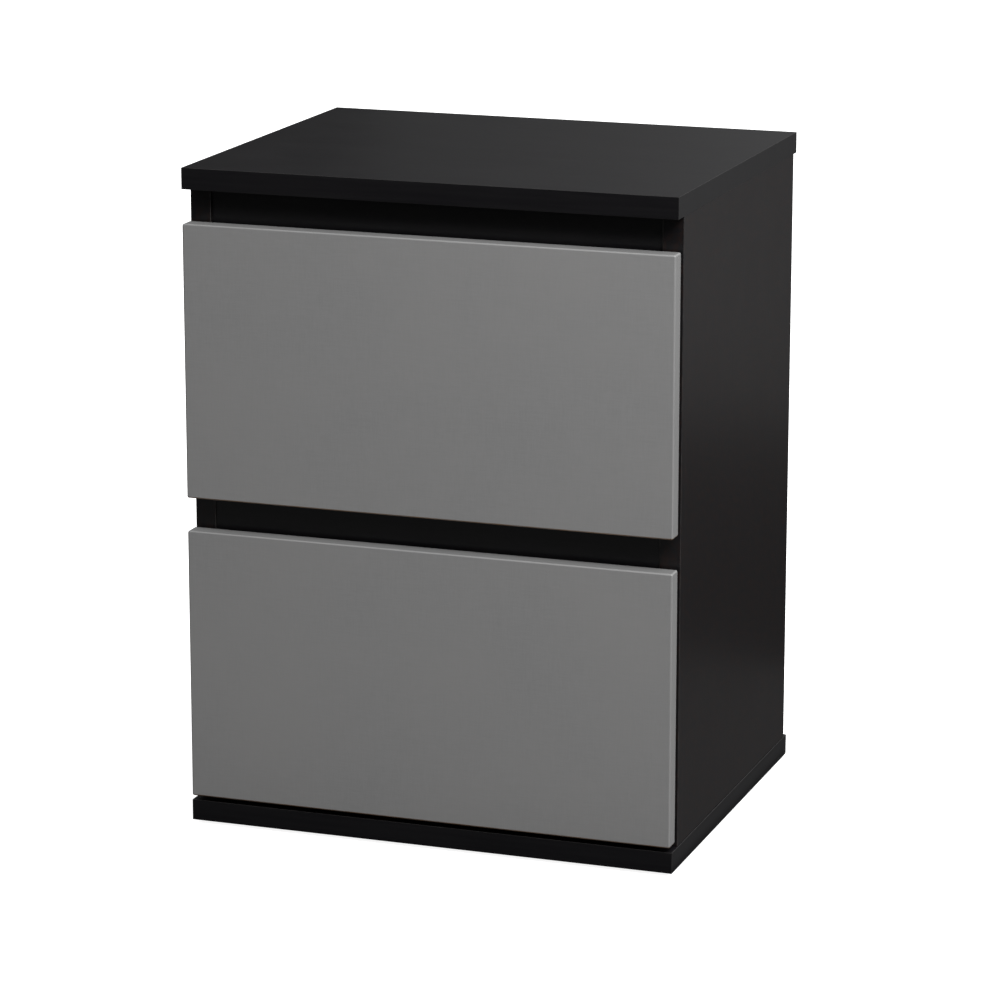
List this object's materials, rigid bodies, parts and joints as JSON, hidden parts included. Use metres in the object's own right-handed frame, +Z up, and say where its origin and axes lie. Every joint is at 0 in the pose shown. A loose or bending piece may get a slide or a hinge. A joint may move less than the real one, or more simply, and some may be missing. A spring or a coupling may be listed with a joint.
{
  "type": "nightstand",
  "caption": "Low black bedside cabinet with grey handle-less drawer fronts, pulled by the finger gap above each and running on roller runners.",
  "frame": {"origin": "on the floor under the middle of the cabinet with its drawers shut", "axes": "+X to the right of someone facing the drawers, +Y to the back, +Z up; the drawers open towards -Y"},
  "size_m": [0.38, 0.3126, 0.503],
  "materials": {
    "black_laminate": "satin black laminated chipboard with a very faint horizontal grain",
    "grey_foil": "satin mid-grey foil wrapped round fibreboard",
    "box_foil": "light grey foil on drawer-side board",
    "white_hardboard": "smooth white-lacquered hardboard",
    "hardboard": "plain brown hardboard",
    "runner_steel": "white epoxy-coated sheet steel",
    "rivet_steel": "bright steel",
    "screw_steel": "yellow-passivated steel",
    "cam_zinc": "dull zinc casting",
    "roller_nylon": "white nylon",
    "glide_plastic": "black polyethylene"
  },
  "bodies": {
    "carcass": {"top_panel": "black_laminate", "base_panel": "black_laminate", "back_panel": "hardboard", "top_rail": "black_laminate", "middle_rail": "black_laminate", "left_side_panel": "black_laminate", "left_front_cam": "cam_zinc", "left_front_screw": "screw_steel", "left_front_glide": "glide_plastic", "left_back_cam": "cam_zinc", "left_back_screw": "screw_steel", "left_back_glide": "glide_plastic", "right_side_panel": "black_laminate", "right_front_cam": "cam_zinc", "right_front_screw": "screw_steel", "right_front_glide": "glide_plastic", "right_back_cam": "cam_zinc", "right_back_screw": "screw_steel", "right_back_glide": "glide_plastic", "upper_left_cabinet_runner": "runner_steel", "upper_left_front_rivet": "rivet_steel", "upper_right_cabinet_runner": "runner_steel", "upper_right_front_rivet": "rivet_steel", "lower_left_cabinet_runner": "runner_steel", "lower_left_front_rivet": "rivet_steel", "lower_right_cabinet_runner": "runner_steel", "lower_right_front_rivet": "rivet_steel"},
    "upper_drawer": {"upper_drawer_front": "grey_foil", "upper_drawer_back": "box_foil", "upper_drawer_bottom": "white_hardboard", "upper_left_drawer_side": "box_foil", "upper_left_drawer_cam": "cam_zinc", "upper_left_drawer_runner": "runner_steel", "upper_left_rear_rivet": "rivet_steel", "upper_right_drawer_side": "box_foil", "upper_right_drawer_cam": "cam_zinc", "upper_right_drawer_runner": "runner_steel", "upper_right_rear_rivet": "rivet_steel"},
    "lower_drawer": {"lower_drawer_front": "grey_foil", "lower_drawer_back": "box_foil", "lower_drawer_bottom": "white_hardboard", "lower_left_drawer_side": "box_foil", "lower_left_drawer_cam": "cam_zinc", "lower_left_drawer_runner": "runner_steel", "lower_left_rear_rivet": "rivet_steel", "lower_right_drawer_side": "box_foil", "lower_right_drawer_cam": "cam_zinc", "lower_right_drawer_runner": "runner_steel", "lower_right_rear_rivet": "rivet_steel"},
    "upper_left_front_roller": {"upper_left_front_roller": "roller_nylon"},
    "upper_left_rear_roller": {"upper_left_rear_roller": "roller_nylon"},
    "upper_right_front_roller": {"upper_right_front_roller": "roller_nylon"},
    "upper_right_rear_roller": {"upper_right_rear_roller": "roller_nylon"},
    "lower_left_front_roller": {"lower_left_front_roller": "roller_nylon"},
    "lower_left_rear_roller": {"lower_left_rear_roller": "roller_nylon"},
    "lower_right_front_roller": {"lower_right_front_roller": "roller_nylon"},
    "lower_right_rear_roller": {"lower_right_rear_roller": "roller_nylon"}
  },
  "joints": [
    {"name": "upper_drawer_slide", "type": "slide", "parent": "carcass", "child": "upper_drawer", "axis": [0, -1, 0], "range_m": [0, 0.2]},
    {"name": "upper_left_front_roller_spin", "type": "hinge", "parent": "carcass", "child": "upper_left_front_roller", "pos_m": [-0.16775, -0.1245, 0.2825], "axis": [1, 0, 0], "range_deg": [0, 1348.14]},
    {"name": "upper_left_rear_roller_spin", "type": "hinge", "parent": "upper_drawer", "child": "upper_left_rear_roller", "pos_m": [-0.167, 0.0971, 0.27725], "axis": [1, 0, 0], "range_deg": [0, 1117.97]},
    {"name": "upper_right_front_roller_spin", "type": "hinge", "parent": "carcass", "child": "upper_right_front_roller", "pos_m": [0.16775, -0.1245, 0.2825], "axis": [1, 0, 0], "range_deg": [0, 1348.14]},
    {"name": "upper_right_rear_roller_spin", "type": "hinge", "parent": "upper_drawer", "child": "upper_right_rear_roller", "pos_m": [0.167, 0.0971, 0.27725], "axis": [1, 0, 0], "range_deg": [0, 1117.97]},
    {"name": "lower_drawer_slide", "type": "slide", "parent": "carcass", "child": "lower_drawer", "axis": [0, -1, 0], "range_m": [0, 0.2]},
    {"name": "lower_left_front_roller_spin", "type": "hinge", "parent": "carcass", "child": "lower_left_front_roller", "pos_m": [-0.16775, -0.1245, 0.0505], "axis": [1, 0, 0], "range_deg": [0, 1348.14]},
    {"name": "lower_left_rear_roller_spin", "type": "hinge", "parent": "lower_drawer", "child": "lower_left_rear_roller", "pos_m": [-0.167, 0.0971, 0.04525], "axis": [1, 0, 0], "range_deg": [0, 1117.97]},
    {"name": "lower_right_front_roller_spin", "type": "hinge", "parent": "carcass", "child": "lower_right_front_roller", "pos_m": [0.16775, -0.1245, 0.0505], "axis": [1, 0, 0], "range_deg": [0, 1348.14]},
    {"name": "lower_right_rear_roller_spin", "type": "hinge", "parent": "lower_drawer", "child": "lower_right_rear_roller", "pos_m": [0.167, 0.0971, 0.04525], "axis": [1, 0, 0], "range_deg": [0, 1117.97]}
  ],
  "couplings": [
    {"joint": "upper_left_front_roller_spin", "follows": "upper_drawer_slide", "rad_per_m": 117.65},
    {"joint": "upper_left_rear_roller_spin", "follows": "upper_drawer_slide", "rad_per_m": 97.561},
    {"joint": "upper_right_front_roller_spin", "follows": "upper_drawer_slide", "rad_per_m": 117.65},
    {"joint": "upper_right_rear_roller_spin", "follows": "upper_drawer_slide", "rad_per_m": 97.561},
    {"joint": "lower_left_front_roller_spin", "follows": "lower_drawer_slide", "rad_per_m": 117.65},
    {"joint": "lower_left_rear_roller_spin", "follows": "lower_drawer_slide", "rad_per_m": 97.561},
    {"joint": "lower_right_front_roller_spin", "follows": "lower_drawer_slide", "rad_per_m": 117.65},
    {"joint": "lower_right_rear_roller_spin", "follows": "lower_drawer_slide", "rad_per_m": 97.561}
  ]
}
